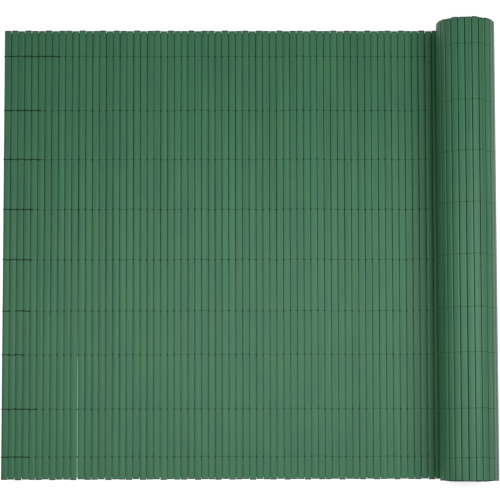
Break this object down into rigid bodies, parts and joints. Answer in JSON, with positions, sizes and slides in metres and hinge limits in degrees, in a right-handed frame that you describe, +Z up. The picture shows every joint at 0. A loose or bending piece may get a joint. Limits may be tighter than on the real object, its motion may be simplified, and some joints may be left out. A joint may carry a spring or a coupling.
{
  "type": "pvc privacy screen",
  "caption": "Garden privacy screen of hollow PVC slats threaded side by side on cords, lying flat with one end wound into a roll.",
  "frame": {"origin": "on the ground under the middle of the whole, flat part and roll together", "axes": "+X along the unrolled screen towards the roll, +Y along the slats, +Z up"},
  "size_m": [0.9788, 0.9016, 0.1172],
  "materials": {
    "slat_pvc": "extruded green PVC with a satin face and fine lines along the slat",
    "cord_nylon": "thin dark green nylon cord"
  },
  "bodies": {
    "root": {"flat_slats_1": "slat_pvc", "flat_slats_2": "slat_pvc", "flat_slats_3": "slat_pvc", "flat_slats_4": "slat_pvc", "flat_slats_5": "slat_pvc", "flat_slats_6": "slat_pvc", "flat_slats_7": "slat_pvc", "flat_slats_8": "slat_pvc", "roll_turn_1": "slat_pvc", "roll_turn_2": "slat_pvc", "roll_turn_3": "slat_pvc", "roll_turn_4": "slat_pvc", "roll_turn_5": "slat_pvc", "roll_turn_6": "slat_pvc", "roll_turn_7": "slat_pvc", "roll_turn_8": "slat_pvc", "cord_1": "cord_nylon", "cord_2": "cord_nylon", "cord_3": "cord_nylon", "cord_4": "cord_nylon", "cord_5": "cord_nylon", "cord_6": "cord_nylon", "cord_7": "cord_nylon", "cord_8": "cord_nylon", "cord_9": "cord_nylon"}
  },
  "joints": []
}
